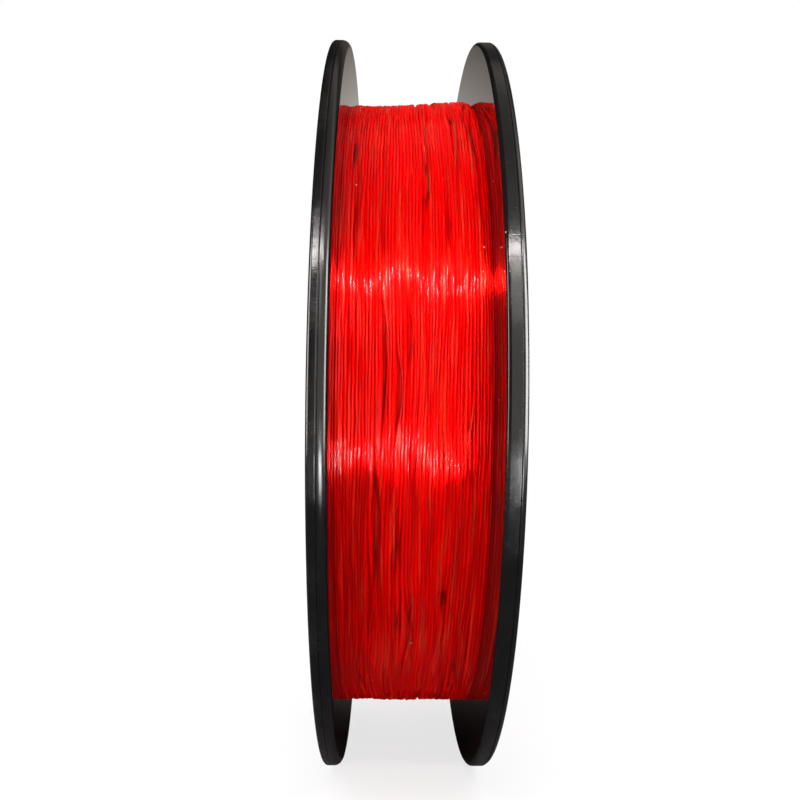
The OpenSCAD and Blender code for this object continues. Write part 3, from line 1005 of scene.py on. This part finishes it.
shader.inputs["Coat Roughness"].default_value = 0.06
shader.inputs["Subsurface Weight"].default_value = 1
shader.inputs["Subsurface Radius"].default_value = (1, 0.02, 0.02)
shader.inputs["Subsurface Scale"].default_value = 1.2 * MM
for piece in pieces + [underneath]:
    piece.data.materials.append(red)
print("red line on", len(pieces) + 1, "pieces")

# %% [markdown]
# ## The labels
# A paper label lies in the recess of each cover. It is a die-cut ring, so it is turned like the discs,
# only thinner. It carries plain printed rings, is a little creased and shows its fibres.

# %% The paper labels
LABEL_HOLE_R = 15 * MM
PAPER_EDGE = 0.03 * MM
DARK_FIBRE, PALE_FIBRE, PAPER_DUST = (0.62, 0.60, 0.56, 1), (0.76, 0.74, 0.70, 1), (0.4, 0.37, 0.33, 1)
RED_INK, DARK_INK = (0.36, 0.006, 0.006, 1), (0.02, 0.02, 0.022, 1)
PRINTED_RINGS = ((36.6, 43.2, RED_INK), (35.0, 35.5, DARK_INK), (17.4, 19.0, DARK_INK))  # in mm
PRINT_EDGE = 0.04  # in mm
COVERING = 0.96  # how much of the paper's colour the ink hides

paper, tree, shader = material("ringed_paper")
coords = add(tree, "ShaderNodeTexCoord").outputs["Object"]
reach = off_axis(tree, coords)
fibres = noise_at(tree, coords, 2600, 4, 0.6)
colour = blended(tree, fibres, DARK_FIBRE, PALE_FIBRE)
for inner, outer, ink in PRINTED_RINGS:
    inside = mapped(tree, reach, (inner - PRINT_EDGE) * MM, (inner + PRINT_EDGE) * MM)
    outside = mapped(tree, reach, (outer - PRINT_EDGE) * MM, (outer + PRINT_EDGE) * MM, 1, 0)
    printed = maths(tree, "MULTIPLY", inside, outside)
    colour = blended(tree, maths(tree, "MULTIPLY", printed, COVERING), colour, ink)
specks = placed(tree, dust, Place=coords, Spacing=3.5 * MM, Share=0.2)["Dust"]
tree.links.new(blended(tree, specks, colour, PAPER_DUST), shader.inputs["Base Color"])
rubbed = mapped(tree, noise_at(tree, coords, 90, 4), 0.4, 0.7, 0.4, 0.6)
tree.links.new(rubbed, shader.inputs["Roughness"])
shader.inputs["Specular IOR Level"].default_value = 0.25
creased = maths(tree, "MULTIPLY_ADD", noise_at(tree, coords, 70, 2), 8, maths(tree, "MULTIPLY", fibres, 0.3))
bump = add(tree, "ShaderNodeBump", Height=creased, Strength=0.25, Distance=0.02 * MM)
tree.links.new(bump.outputs[0], shader.inputs["Normal"])
for node in ("left_label", "right_label"):
    low_x, high_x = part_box(node)[0].x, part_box(node)[1].x
    label = turned(f"{node}_paper", [(low_x, LABEL_HOLE_R, PAPER_EDGE), (low_x, label_r, PAPER_EDGE),
                                     (high_x, label_r, PAPER_EDGE), (high_x, LABEL_HOLE_R, PAPER_EDGE)])
    smoothed(label)
    label.data.materials.append(paper)
    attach(label, "root")
    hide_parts(node)

# %% [markdown]
# ## The tape
# The tape that holds the line's first end lies on the drum under all the line. Its shape is the
# frame's own, and it only gets the yellowish, cloudy look of old clear tape.

# %% The tape
YELLOWED, CLEARER = (0.62, 0.57, 0.40, 1), (0.74, 0.70, 0.54, 1)
film, tree, shader = material("clear_tape")
coords = add(tree, "ShaderNodeTexCoord").outputs["Object"]
cloudy = mapped(tree, noise_at(tree, coords, 400), 0.4, 0.7)
tree.links.new(blended(tree, cloudy, YELLOWED, CLEARER), shader.inputs["Base Color"])
shader.inputs["Roughness"].default_value = 0.25
nodes["start_tape"].data.materials.clear()
nodes["start_tape"].data.materials.append(film)
print("tape:", film.name)
